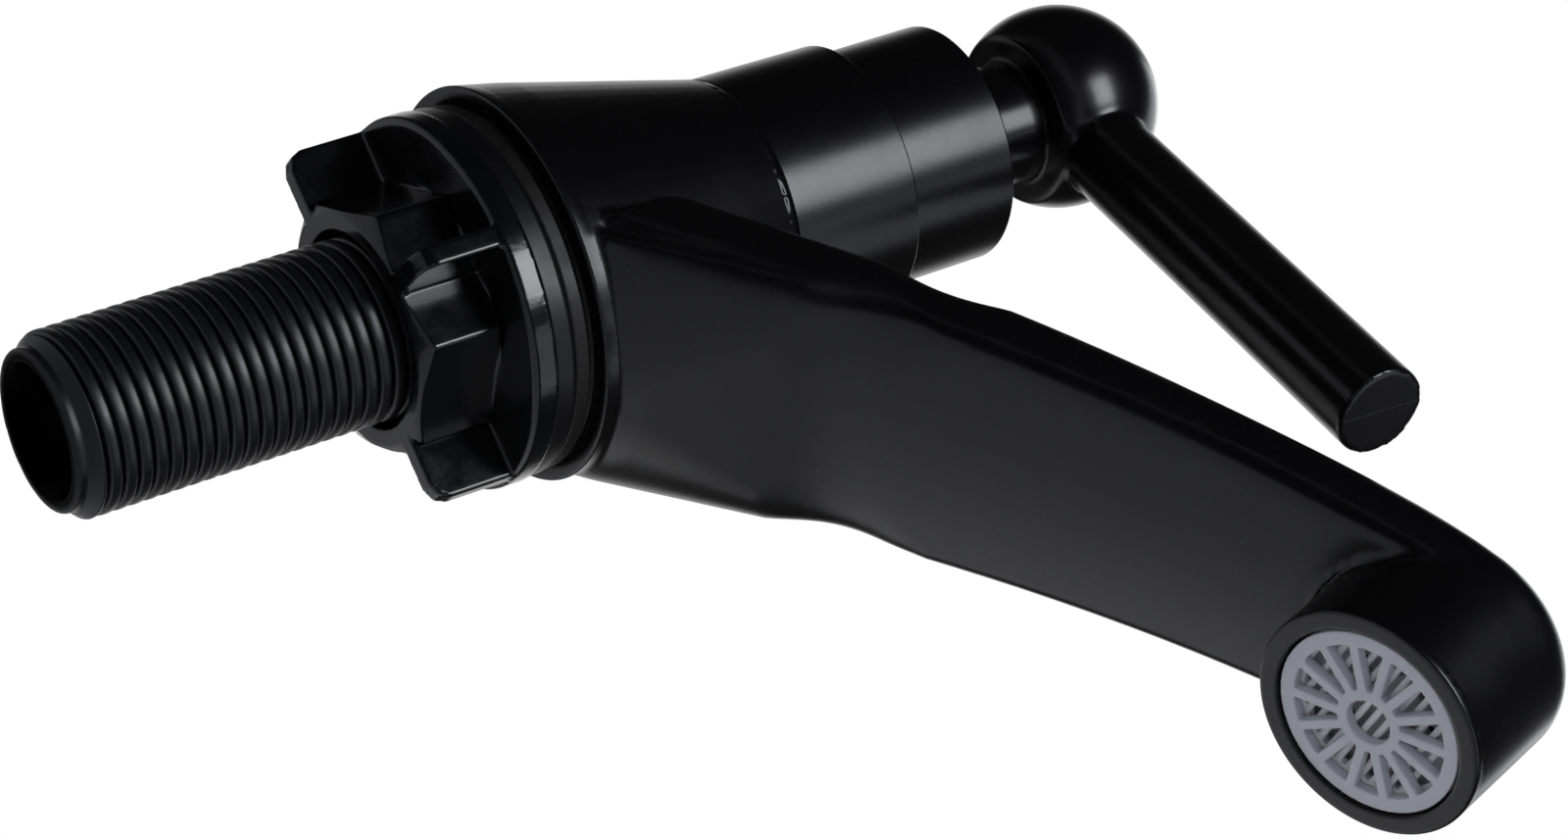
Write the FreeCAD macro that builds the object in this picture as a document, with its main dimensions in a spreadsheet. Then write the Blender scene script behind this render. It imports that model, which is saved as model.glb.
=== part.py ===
import FreeCAD, Part
import math
import os
import re

import Sketcher

# Pillar tap for a basin: one cast body with its spout, a threaded tail held by a winged nut,
# a quarter-turn ceramic cartridge under a sleeve, and a lever on a ball.
# The origin is the centre of the underside of the body, where it stands on the basin.
# +Z goes up from the tail to the lever, and the spout points along -Y. Sizes are millimetres.

sizes = {
    # body and its cone
    "baseRadius": 22.9,
    "bodyHeight": 30.35,
    "bodyTopRadius": 15.7,
    "baseLip": 1.2,
    "recessRadius": 20.4,
    "recessDepth": 1.2,
    # spout: the place of its nozzle, and the arm that carries it
    "reach": 98.8,
    "outletHeight": 46.9,
    "nozzleTilt": 17.7,
    "nozzleRadius": 13.5,
    "nozzleHeight": 19.2,
    "nozzleFillet": 4.4,
    "rootHalfWidth": 19.9,
    "armCrown": 3.2,
    "upperFillet": 4.2,
    "lowerFillet": 2.4,
    "spoutWall": 2.8,
    # threaded tail
    "threadRadius": 10.4775,
    "tailLength": 56.8,
    "tailBore": 7.0,
    "mouthRadius": 7.74,
    "mouthDepth": 2.2,
    "noseRadius": 9.2,
    "noseLength": 2.4,
    "spigotRadius": 9.8,
    "spigotLength": 8.8,
    # winged nut and the rings above it
    "nutFlat": 13.75,
    "nutHeight": 12.8,
    "flangeRadius": 21.5,
    "flangeThickness": 3.0,
    "wingThickness": 2.35,
    "wingInset": 0.25,
    "wingCorner": 2.0,
    "nutClearance": 0.3,
    "nutMouth": 11.4,
    "nutMouthDepth": 1.8,
    "nutChamfer": 1.75,
    "plateThickness": 2.5,
    "rubberThickness": 1.8,
    "gasketStand": 0.9,
    "washerInset": 0.2,
    # cartridge
    "seatHeight": 12.0,
    "waterway": 5.5,
    "housingRadius": 9.3,
    "housingClearance": 0.2,
    "housingWall": 1.6,
    "housingRise": 11.0,
    "collarRadius": 11.9,
    "collarThickness": 2.4,
    "collarDepth": 5.0,
    "sealThickness": 1.4,
    "discClearance": 0.2,
    "discThickness": 3.0,
    "portRadius": 6.1,
    "portHub": 1.9,
    "portAngle": 76.0,
    "notchDepth": 1.8,
    "windowHeight": 4.6,
    "windowWidth": 8.0,
    "spindleRadius": 4.6,
    "driveHeight": 3.0,
    "tongueWidth": 2.6,
    "tongueDepth": 1.2,
    "thrustThickness": 1.2,
    "ringSection": 0.9,
    "ringStart": 2.0,
    "ringSpacing": 3.0,
    "clipThickness": 1.0,
    "clipRadius": 6.4,
    "splineRadius": 3.6,
    "splineDepth": 0.5,
    "splineTeeth": 12,
    # sleeve, skirt and lever
    "sleeveHeight": 16.45,
    "sleeveTopRadius": 15.45,
    "sleeveWall": 2.2,
    "skirtRadius": 14.1,
    "skirtHeight": 14.0,
    "skirtWall": 1.8,
    "seam": 0.3,
    "neckRadius": 7.25,
    "bossRadius": 9.5,
    "bossRise": 1.5,
    "ballHeight": 77.7,
    "ballRadius": 12.1,
    "flatRadius": 10.15,
    "leverLength": 66.8,
    "leverRadius": 5.35,
    "leverEndRadius": 5.5,
    "leverFall": 4.1,
    "leverTurn": 6.2,
    "screwRadius": 1.9,
    "screwHead": 3.5,
    "screwHeadHeight": 2.4,
    "screwLength": 14.0,
    "screwGap": 1.0,
    "crossWidth": 0.9,
    "crossDepth": 1.2,
    "capRadius": 4.6,
    "capDepth": 3.0,
    # aerator insert in the nozzle
    "insertRadius": 10.95,
    "insertClearance": 0.3,
    "insertRecess": 0.3,
    "gridThickness": 1.3,
    "gridRim": 1.7,
    "spokeWidth": 1.1,
    "spokeCount": 14,
    "hubRadius": 3.9,
    "hubHole": 2.65,
    "barWidth": 0.75,
    "barPitch": 1.45,
    "barTurn": -72.0,
    "barThickness": 1.2,
    "shellHeight": 5.4,
    "shellWall": 1.0,
    "plateThick": 1.0,
    "plateGap": 1.2,
    "plateRing": 5.6,
    "plateHole": 0.9,
    "plateHoles": 8,
    "insertSeal": 1.6,
    # running gap between a turning piece and what holds it
    "gap": 0.05,
    # small edge left on turned pieces, and how far a cutting tool reaches past what it cuts
    "edgeBreak": 0.4,
    "past": 1.0,
}

doc = FreeCAD.newDocument("basin_tap")
sheet = doc.addObject("Spreadsheet::Sheet", "Sizes")
for row, (alias, value) in enumerate(sizes.items(), start=1):
    sheet.set("A%d" % row, alias)
    sheet.set("B%d" % row, str(value))
    sheet.setAlias("B%d" % row, alias)
doc.recompute()

vec = FreeCAD.Vector
up = vec(0, 0, 1)
nodes = []
whole = re.compile(r"[A-Za-z]+")


def bound(text):
    """The text as an expression over the sheet."""
    return whole.sub(lambda word: "Sizes." + word.group() if word.group() in sizes else word.group(), text)


def size(text):
    """The number that an expression over the sheet has now."""
    return float(sheet.evalExpression(bound(text)))


def keep(piece, label):
    """Name a finished piece, which gets a file of its own."""
    piece.Label = label
    nodes.append(piece)
    return piece


def polygon(sketch, corners):
    """Closed outline whose corners are held by expressions for X and Y."""
    points = [vec(size(across), size(along), 0) for across, along in corners]
    count = len(points)
    for index in range(count):
        sketch.addGeometry(Part.LineSegment(points[index], points[(index + 1) % count]), False)
    for index in range(count):
        sketch.addConstraint(Sketcher.Constraint("Coincident", index, 2, (index + 1) % count, 1))
    for index, corner in enumerate(corners):
        for kind, text in zip(("DistanceX", "DistanceY"), corner):
            held = sketch.addConstraint(Sketcher.Constraint(kind, -1, 1, index, 1, size(text)))
            sketch.setExpression("Constraints[%d]" % held, bound(text))


def newSketch(body, role):
    """Sketch on one of the body's own origin planes."""
    sketch = body.newObject("Sketcher::SketchObject", "Outline")
    plane = next(item for item in body.Origin.OriginFeatures if item.Role == role)
    sketch.AttachmentSupport = [(plane, "")]
    sketch.MapMode = "FlatFace"
    return sketch


def revolve(body, corners, kind="Revolution"):
    """Turn an outline of radius and height round Z, to add it or as a groove."""
    sketch = newSketch(body, "XZ_Plane")
    polygon(sketch, corners)
    turn = body.newObject("PartDesign::" + kind, kind)
    turn.Profile = sketch
    turn.ReferenceAxis = (sketch, ["V_Axis"])
    turn.Angle = 360
    body.Tip = turn
    return turn


def turned(name, corners):
    body = doc.addObject("PartDesign::Body", name)
    revolve(body, corners)
    return body


def ring(name, inner, outer, low, high):
    return turned(name, [(inner, low), (outer, low), (outer, high), (inner, high)])


def part(kind, name, place=("0", "0", "0"), **lengths):
    """Part primitive whose lengths and place are expressions."""
    piece = doc.addObject("Part::" + kind, name)
    for what, text in lengths.items():
        piece.setExpression(what, bound(text))
    for axis, text in zip("xyz", place):
        if text != "0":
            piece.setExpression("Placement.Base." + axis, bound(text))
    return piece


def cylinder(name, radius, low, high):
    return part("Cylinder", name, ("0", "0", low), Radius=radius, Height="(%s) - (%s)" % (high, low))


def block(name, wide, deep, low, high, across="0", along="0"):
    """Box centred on a place across X and along Y, between two heights."""
    corner = ("(%s) - (%s) / 2" % (across, wide), "(%s) - (%s) / 2" % (along, deep), low)
    return part("Box", name, corner, Length=wide, Width=deep, Height="(%s) - (%s)" % (high, low))


def join(name, pieces):
    fused = doc.addObject("Part::MultiFuse", name)
    fused.Shapes = pieces
    return fused


def cut(name, base, tools):
    """Base less all the tools."""
    less = doc.addObject("Part::Cut", name)
    less.Base = base
    less.Tool = tools[0] if len(tools) == 1 else join(name + "Tools", tools)
    return less


# heights that several pieces share
plateTop = "-(gasketStand + rubberThickness)"
flangeTop = "-(gasketStand + rubberThickness + plateThickness)"
flangeFront = flangeTop + " - flangeThickness"
nutEnd = flangeTop + " - nutHeight"
spigotTop = "recessDepth + spigotLength"
socketRadius = "housingRadius + housingClearance"
discSeat = "seatHeight + sealThickness"
discFace = discSeat + " + discThickness"
discTop = discFace + " + discThickness"
driveTop = discTop + " + driveHeight"
chamberTop = driveTop + " + thrustThickness + gap"
collarLow = "bodyHeight - collarDepth"
collarTop = collarLow + " + collarThickness"
housingTop = "bodyHeight + housingRise"
sleeveTop = "bodyHeight + sleeveHeight"
skirtLow = sleeveTop + " + seam"
skirtTop = skirtLow + " + skirtHeight"
discRadius = "housingRadius - housingWall - discClearance"
clipLow = housingTop + " + gap"
clipTop = clipLow + " + clipThickness"
spindleTop = skirtTop + " - skirtWall - past"
ballFlat = "ballHeight - sqrt(ballRadius ^ 2 - flatRadius ^ 2)"


def makeTail():
    """Threaded tail: a bored tube with a short nose below and a spigot in the body above."""
    nose = "-tailLength + noseLength"
    corners = [
        ("tailBore", "-tailLength + mouthDepth"),
        ("mouthRadius", "-tailLength + mouthDepth"),
        ("mouthRadius", "-tailLength"),
        ("noseRadius", "-tailLength"),
        ("noseRadius", nose),
        ("threadRadius", nose + " + threadRadius - noseRadius"),
        ("threadRadius", "recessDepth"),
        ("spigotRadius", "recessDepth"),
        ("spigotRadius", spigotTop),
        ("tailBore", spigotTop),
    ]
    keep(turned("Tail", corners), "threaded_tail")
    keep(ring("TailSeal", "waterway + edgeBreak", "spigotRadius - edgeBreak", spigotTop, "seatHeight - past"),
         "tail_seal")


def makeNut():
    """Moulded backnut: hexagonal hub, round flange and four wings, bored to clear the thread."""
    body = doc.addObject("PartDesign::Body", "Backnut")
    hexagon = newSketch(body, "XY_Plane")
    corner = "nutFlat / cos(30)"
    spots = []
    for angle in range(0, 360, 60):
        spots.append(("(%s) * cos(%d)" % (corner, angle), "(%s) * sin(%d)" % (corner, angle)))
    polygon(hexagon, spots)
    hexagon.setExpression("AttachmentOffset.Base.z", bound(nutEnd))
    hub = body.newObject("PartDesign::Pad", "Hub")
    hub.Profile = hexagon
    hub.setExpression("Length", bound("nutHeight"))
    revolve(body, [
        ("nutFlat - edgeBreak", nutEnd + " - past"),
        (corner + " + 2 * past", nutEnd + " - past"),
        (corner + " + 2 * past", nutEnd + " + nutChamfer"),
        ("nutFlat - edgeBreak", nutEnd),
    ], "Groove")
    revolve(body, [
        ("nutFlat - 2 * past", flangeFront),
        ("flangeRadius - edgeBreak", flangeFront),
        ("flangeRadius", flangeFront + " + edgeBreak"),
        ("flangeRadius", flangeTop),
        ("nutFlat - 2 * past", flangeTop),
    ])
    wing = newSketch(body, "XZ_Plane")
    outer = "flangeRadius - wingInset"
    polygon(wing, [
        ("nutFlat - 1.5 * past", flangeFront + " + past / 2"),
        (outer, flangeFront + " + past / 2"),
        (outer, nutEnd + " + wingCorner"),
        (outer + " - wingCorner * 0.3", nutEnd + " + wingCorner * 0.3"),
        (outer + " - wingCorner", nutEnd),
        ("nutFlat - 1.5 * past", nutEnd),
    ])
    blade = body.newObject("PartDesign::Pad", "Wing")
    blade.Profile = wing
    blade.Midplane = True
    blade.setExpression("Length", bound("wingThickness"))
    pattern = body.newObject("PartDesign::PolarPattern", "Wings")
    pattern.Originals = [blade]
    pattern.Axis = (newSketch(body, "XY_Plane"), ["N_Axis"])
    pattern.Angle = 360
    pattern.Occurrences = 4
    body.Tip = pattern
    bore = "threadRadius + nutClearance"
    revolve(body, [
        ("0", nutEnd + " - past"),
        ("nutMouth", nutEnd + " - past"),
        ("nutMouth", nutEnd + " + nutMouthDepth"),
        (bore, nutEnd + " + nutMouthDepth + nutMouth - (%s)" % bore),
        (bore, flangeTop + " + past"),
        ("0", flangeTop + " + past"),
    ], "Groove")
    body.Placement = FreeCAD.Placement(vec(), FreeCAD.Rotation(up, 30))
    keep(body, "backnut")


def makeWashers():
    """Rings between the nut and the body: a slip plate, a rubber washer and the base gasket."""
    hole = "threadRadius + nutClearance"
    rim = "flangeRadius - washerInset"
    plate = turned("SlipPlate", [
        (hole, flangeTop),
        (rim, flangeTop),
        (rim, plateTop + " - edgeBreak"),
        (rim + " - edgeBreak", plateTop),
        (hole, plateTop),
    ])
    keep(plate, "slip_washer")
    keep(ring("RubberWasher", hole, rim + " - washerInset", plateTop, "-gasketStand"),
         "rubber_washer")
    gasketRim = "recessRadius - washerInset"
    keep(ring("BaseGasket", "threadRadius + gap", gasketRim, "-gasketStand", "recessDepth"), "base_gasket")


# stations of the spout arm: share of the way out to the nozzle's rim, and the heights of its
# underside and upper edges there as shares of the rim's height
armStations = (
    (0.130, 0.045, 0.220),
    (0.215, 0.160, 0.330),
    (0.430, 0.430, 0.585),
    (0.645, 0.655, 0.785),
    (0.805, 0.790, 0.913),
)
armEndShare = 0.64
armRimShare = 0.945

# stations of the hollow in the arm: the same shares, and its width as a share of all that the walls leave
waterStations = (
    (0.215, 0.160, 0.305, 0.50),
    (0.310, 0.308, 0.450, 0.80),
    (0.430, 0.430, 0.585, 1.00),
    (0.645, 0.655, 0.785, 1.00),
    (0.805, 0.790, 0.913, 1.00),
)


def nozzlePlace():
    """Frame of the nozzle: it starts in the middle of the outlet face and Z points up into it."""
    spin = FreeCAD.Rotation(vec(1, 0, 0), -size("nozzleTilt"))
    return FreeCAD.Placement(vec(0, -size("reach"), size("outletHeight")), spin)


def nozzlePoint(height):
    return nozzlePlace().multVec(vec(0, 0, height))


def armSection(along, half, low, edge):
    """Section of the spout arm: flat below, straight sides and a crowned top."""
    left = vec(-half, along, low)
    right = vec(half, along, low)
    rightTop = vec(half, along, edge)
    leftTop = vec(-half, along, edge)
    crown = Part.Arc(rightTop, vec(0, along, edge + size("armCrown")), leftTop).toShape()
    return Part.Wire([Part.makeLine(left, right), Part.makeLine(right, rightTop), crown,
                      Part.makeLine(leftTop, left)])


def armUpright(along, half, low, edge):
    """The same section drawn in a frame whose Z is the axis of the nozzle."""
    wire = armSection(along, half, low, edge)
    wire.Placement = nozzlePlace()
    return wire


def longEdges(shape):
    return [edge for edge in shape.Edges if abs(edge.Vertexes[0].Y - edge.Vertexes[-1].Y) > size("reach") / 3]


def middleHeight(edge):
    return edge.valueAt((edge.FirstParameter + edge.LastParameter) / 2).z


def makeArm():
    """Arm lofted from inside the body to the axis of the nozzle, with its long edges rounded."""
    top = size("nozzleHeight")
    rim = nozzlePoint(top)
    length = -rim.y / armRimShare
    root = size("rootHalfWidth")
    half = size("nozzleRadius")
    wires = []
    for share, low, edge in armStations:
        wires.append(armSection(-share * length, root + (half - root) * share, low * rim.z, edge * rim.z))
    wires.append(armUpright(0, half, armEndShare * top, top))
    arm = Part.makeLoft(wires, True, False, False)
    edges = sorted(longEdges(arm), key=middleHeight)
    arm = arm.makeFillet(size("lowerFillet"), edges[:2])
    edges = sorted(longEdges(arm), key=middleHeight)
    return arm.makeFillet(size("upperFillet"), edges[-2:])


def makeNozzle():
    """End of the spout, turned about its own tilted axis, with a rounded crowned top."""
    radius = size("nozzleRadius")
    top = size("nozzleHeight")
    crown = size("armCrown")
    dome = (radius ** 2 + crown ** 2) / (2 * crown)
    middle = vec(radius / 2, 0, top + crown - dome + math.sqrt(dome ** 2 - radius ** 2 / 4))
    edges = [
        Part.makeLine(vec(), vec(radius, 0, 0)),
        Part.makeLine(vec(radius, 0, 0), vec(radius, 0, top)),
        Part.Arc(vec(radius, 0, top), middle, vec(0, 0, top + crown)).toShape(),
        Part.makeLine(vec(0, 0, top + crown), vec()),
    ]
    solid = Part.Face(Part.Wire(edges)).revolve(vec(), up, 360)
    rim = [edge for edge in solid.Edges if abs(edge.CenterOfMass.z - top) < 0.001 and edge.Length > radius]
    solid = solid.makeFillet(size("nozzleFillet"), rim)
    solid.Placement = nozzlePlace()
    return solid


def makeCone():
    """Body under the sleeve: a cone with a small rounded lip where it meets the basin."""
    base = size("baseRadius")
    lip = size("baseLip")
    outline = Part.makePolygon([
        vec(), vec(base - lip, 0, 0), vec(base, 0, lip), vec(size("bodyTopRadius"), 0, size("bodyHeight")),
        vec(0, 0, size("bodyHeight")), vec(),
    ])
    return Part.Face(outline).revolve(vec(), up, 360)


def upright(low, high, radius, place=None):
    """Upright cylinder between two heights, in the body's frame or the one given."""
    solid = Part.makeCylinder(radius, high - low, vec(0, 0, low))
    if place:
        solid.Placement = place
    return solid


def makeWaterway():
    """Hollow of the spout: narrow where it leaves the cartridge, then one wall inside the arm all round."""
    wall = size("spoutWall")
    inset = wall + size("lowerFillet") / 2
    top = size("nozzleHeight")
    rim = nozzlePoint(top)
    length = -rim.y / armRimShare
    root = size("rootHalfWidth")
    half = size("nozzleRadius")
    entry = size("windowWidth") / 2
    port = size(discFace)
    wires = [armSection(-size(socketRadius) / 2, entry, port - wall / 2, port + wall / 2)]
    for share, low, edge, wide in waterStations:
        across = wide * (root + (half - root) * share - inset)
        wires.append(armSection(-share * length, across, low * rim.z + wall, edge * rim.z - wall))
    wires.append(armUpright(0, half - 2 * inset, armEndShare * top + wall, top - wall))
    return Part.makeLoft(wires, True, False, False)


def makeBody():
    """Cast body and spout in one piece, with its sockets and waterway."""
    solid = makeCone().fuse([makeArm(), makeNozzle()])
    clear = size("gap")
    seat = size("seatHeight")
    past = size("past")
    wall = size("spoutWall")
    top = size("bodyHeight") + past
    place = nozzlePlace()
    hollow = size(insertTop)
    tools = [
        upright(-past, size("recessDepth"), size("recessRadius")),
        upright(0, seat - past, size("spigotRadius") + clear),
        upright(0, top, size("waterway")),
        upright(seat, top, size(socketRadius)),
        upright(size(collarLow), top, size("collarRadius") + size("housingClearance")),
        upright(-past, hollow, size("insertRadius") + size("insertClearance"), place),
        upright(hollow - past, size("nozzleHeight") - wall / 2, size("insertRadius") - wall, place),
        makeWaterway(),
    ]
    solid = solid.cut(tools).removeSplitter()
    body = doc.addObject("Part::Feature", "TapBody")
    body.Shape = solid
    keep(body, "tap_body")


insertTop = "insertRecess + gridThickness + shellHeight + insertSeal"


def makeCartridge():
    """Quarter-turn cartridge: housing, seals, two ceramic discs, spindle, thrust ring and clip."""
    bore = "spindleRadius + gap"
    shell = turned("Housing", [
        ("housingRadius - housingWall", discSeat),
        ("housingRadius", discSeat),
        ("housingRadius", collarLow),
        ("collarRadius", collarLow),
        ("collarRadius", collarTop),
        ("housingRadius", collarTop),
        ("housingRadius", housingTop),
        (bore, housingTop),
        (bore, chamberTop),
        ("housingRadius - housingWall", chamberTop),
    ])
    across = "2 * (housingRadius + past)"
    window = block("Window", "windowWidth", across, discFace, discFace + " + windowHeight")
    keep(cut("CartridgeHousing", shell, [window]), "cartridge_housing")
    keep(ring("SeatSeal", "portRadius + discClearance", "housingRadius", "seatHeight", discSeat), "seat_seal")
    ports = []
    for turn in range(2):
        port = part("Cylinder", "Port", ("0", "0", discSeat + " - past"), Radius="portRadius",
                    Height="discThickness + 2 * past", Angle="portAngle")
        port.Placement.Rotation = FreeCAD.Rotation(up, 180 * turn - size("portAngle") / 2)
        ports.append(port)
    hub = cylinder("PortHub", "portHub", discSeat + " - 2 * past", discFace + " + 2 * past")
    sectors = cut("PortSectors", join("Ports", ports), [hub])
    keep(cut("FixedDisc", cylinder("FixedBlank", discRadius, discSeat, discFace), [sectors]), "fixed_disc")
    notches = []
    for turn in range(2):
        notch = part("Cylinder", "Notch", ("0", "0", discFace + " - past"), Radius="housingRadius",
                     Height="notchDepth + past", Angle="portAngle")
        notch.Placement.Rotation = FreeCAD.Rotation(up, 90 + 180 * turn - size("portAngle") / 2)
        notches.append(notch)
    core = cylinder("NotchHub", "portHub", discFace + " - 2 * past", discTop)
    slot = block("TongueSlot", "2 * housingRadius", "tongueWidth + 2 * gap", discTop + " - tongueDepth",
                 discTop + " + past")
    cuts = [cut("Notches", join("NotchPair", notches), [core]), slot]
    keep(cut("MovingDisc", cylinder("MovingBlank", discRadius, discFace, discTop), cuts), "moving_disc")
    thrustTop = driveTop + " + thrustThickness"
    keep(ring("ThrustRing", "spindleRadius + discClearance", discRadius, driveTop, thrustTop), "thrust_ring")


def makeSpline(name, spread, low, high):
    """Toothed prism: the spindle's end, or with a spread the hole that slides over it."""
    body = doc.addObject("PartDesign::Body", name)
    star = newSketch(body, "XY_Plane")
    corners = []
    for index in range(2 * int(size("splineTeeth"))):
        radius = "(splineRadius + %s%s)" % (spread, " - splineDepth" if index % 2 else "")
        angle = "(180 / splineTeeth * %d)" % index
        corners.append(("%s * cos%s" % (radius, angle), "%s * sin%s" % (radius, angle)))
    polygon(star, corners)
    star.setExpression("AttachmentOffset.Base.z", bound(low))
    prism = body.newObject("PartDesign::Pad", "Teeth")
    prism.Profile = star
    prism.setExpression("Length", bound("(%s) - (%s)" % (high, low)))
    return body


def makeSealRing(label, low):
    """Round ring squeezed into a groove of the spindle: its section has eight short sides."""
    middle = low + " + ringSection / 2 + gap"
    inner = "spindleRadius - ringSection"
    half = "ringSection / 2"
    side = "ringSection * 0.2071"
    keep(turned("SealRing", [
        (inner, middle + " - " + side),
        (inner + " + " + half + " - " + side, middle + " - " + half),
        (inner + " + " + half + " + " + side, middle + " - " + half),
        ("spindleRadius", middle + " - " + side),
        ("spindleRadius", middle + " + " + side),
        (inner + " + " + half + " + " + side, middle + " + " + half),
        (inner + " + " + half + " - " + side, middle + " + " + half),
        (inner, middle + " + " + side),
    ]), label)


def makeSpindle():
    """Spindle with its drive tongue, grooves for two seal rings, and a splined end for the lever."""
    floor = "spindleRadius - ringSection"
    lowRing = chamberTop + " + ringStart"
    highRing = lowRing + " + ringSpacing"
    groove = " + ringSection + 2 * gap"
    shaft = turned("Shaft", [
        ("0", discTop),
        (discRadius, discTop),
        (discRadius, driveTop),
        ("spindleRadius", driveTop),
        ("spindleRadius", lowRing),
        (floor, lowRing),
        (floor, lowRing + groove),
        ("spindleRadius", lowRing + groove),
        ("spindleRadius", highRing),
        (floor, highRing),
        (floor, highRing + groove),
        ("spindleRadius", highRing + groove),
        ("spindleRadius", clipLow),
        (floor, clipLow),
        (floor, clipTop),
        ("spindleRadius", clipTop),
        ("spindleRadius", skirtLow),
        ("0", skirtLow),
    ])
    tongue = block("Tongue", "2 * spindleRadius", "tongueWidth", discTop + " - tongueDepth",
                   discTop + " + past / 2")
    teeth = makeSpline("SpindleTeeth", "0", skirtLow + " - past / 2", spindleTop)
    shaft = join("ShaftAndTongue", [shaft, tongue, teeth])
    holeLow = spindleTop + " - screwLength + screwHeadHeight"
    hole = cylinder("ScrewHole", "screwRadius", holeLow, spindleTop + " + past")
    keep(cut("Spindle", shaft, [hole]), "spindle")
    makeSealRing("spindle_ring_lower", lowRing)
    makeSealRing("spindle_ring_upper", highRing)
    clip = ring("ClipBlank", floor, "clipRadius", clipLow, clipTop)
    mouth = block("ClipMouth", "spindleRadius", "clipRadius * 2", clipLow + " - past", clipTop + " + past",
                  "0", "clipRadius")
    keep(cut("SpringClip", clip, [mouth]), "spindle_clip")


def makeSleeve():
    """Sleeve that screws into the body and holds the cartridge down."""
    bottom = collarTop
    inner = "housingRadius + 2 * housingClearance"
    keep(turned("Sleeve", [
        (inner, bottom),
        ("collarRadius", bottom),
        ("collarRadius", "bodyHeight"),
        ("bodyTopRadius - gap - edgeBreak", "bodyHeight"),
        ("bodyTopRadius - gap", "bodyHeight + edgeBreak"),
        ("sleeveTopRadius", sleeveTop + " - edgeBreak"),
        ("sleeveTopRadius - edgeBreak", sleeveTop),
        ("clipRadius + past / 2", sleeveTop),
        ("clipRadius + past / 2", sleeveTop + " - sleeveWall"),
        ("sleeveTopRadius - sleeveWall", sleeveTop + " - sleeveWall"),
        ("sleeveTopRadius - sleeveWall", "bodyHeight + sleeveWall"),
        (inner, "bodyHeight + sleeveWall"),
    ]), "bonnet_sleeve")


def makeSkirt():
    """Cup under the neck that turns with the lever and covers its boss."""
    keep(turned("Skirt", [
        ("skirtRadius - skirtWall", skirtLow),
        ("skirtRadius - edgeBreak / 2", skirtLow),
        ("skirtRadius", skirtLow + " + edgeBreak / 2"),
        ("skirtRadius", skirtTop + " - edgeBreak"),
        ("skirtRadius - edgeBreak", skirtTop),
        ("neckRadius", skirtTop),
        ("neckRadius", skirtTop + " - skirtWall"),
        ("skirtRadius - skirtWall", skirtTop + " - skirtWall"),
    ]), "handle_skirt")


def leverTurnPlace():
    """Frame at the centre of the ball whose Z runs out along the lever."""
    fall = math.radians(size("leverFall"))
    turn = math.radians(size("leverTurn"))
    along = vec(-math.cos(fall) * math.sin(turn), -math.cos(fall) * math.cos(turn), -math.sin(fall))
    return FreeCAD.Placement(vec(0, 0, size("ballHeight")), FreeCAD.Rotation(up, along))


def makeHandle():
    """Lever moulded with its ball, neck and splined boss, held by a screw under a cap."""
    ball = part("Sphere", "Ball", ("0", "0", "ballHeight"), Radius="ballRadius",
                Angle1="-acos(flatRadius / ballRadius)")
    neck = cylinder("Neck", "neckRadius", skirtTop + " - skirtWall - past", ballFlat + " + 2 * past")
    boss = cylinder("Boss", "bossRadius", skirtLow + " + bossRise", skirtTop + " - skirtWall")
    lever = part("Cone", "Lever", Radius1="leverRadius", Radius2="leverEndRadius", Height="leverLength")
    lever.Placement = leverTurnPlace()
    solid = join("HandleSolid", [ball, neck, boss, lever])
    headLow = spindleTop + " + screwGap"
    headTop = headLow + " + screwHeadHeight"
    capLow = "ballHeight + ballRadius - capDepth"
    bore = makeSpline("HandleTeeth", "gap", skirtLow, spindleTop + " + gap")
    pilot = cylinder("ScrewPilot", "screwRadius + discClearance", skirtLow, "ballHeight")
    seat = cylinder("ScrewSeat", "screwHead + discClearance", headLow, "ballHeight + ballRadius")
    capSeat = cylinder("CapSeat", "capRadius + gap", capLow, "ballHeight + ballRadius + past")
    keep(cut("Handle", solid, [bore, pilot, seat, capSeat]), "lever_handle")
    head = cylinder("ScrewHead", "screwHead", headLow, headTop)
    stem = cylinder("ScrewStem", "screwRadius", headTop + " - screwLength", headLow + " + past / 2")
    crossLow = headTop + " - crossDepth"
    along = block("CrossAlong", "screwHead", "crossWidth", crossLow, headTop + " + past")
    across = block("CrossAcross", "crossWidth", "screwHead", crossLow, headTop + " + past")
    keep(cut("HandleScrew", join("ScrewSolid", [head, stem]), [along, across]), "handle_screw")
    plug = cylinder("CapPlug", "capRadius", capLow, "ballHeight + ballRadius")
    dome = part("Sphere", "CapDome", ("0", "0", "ballHeight"), Radius="ballRadius")
    cap = doc.addObject("Part::MultiCommon", "Cap")
    cap.Shapes = [plug, dome]
    keep(cap, "screw_cap")


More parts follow.
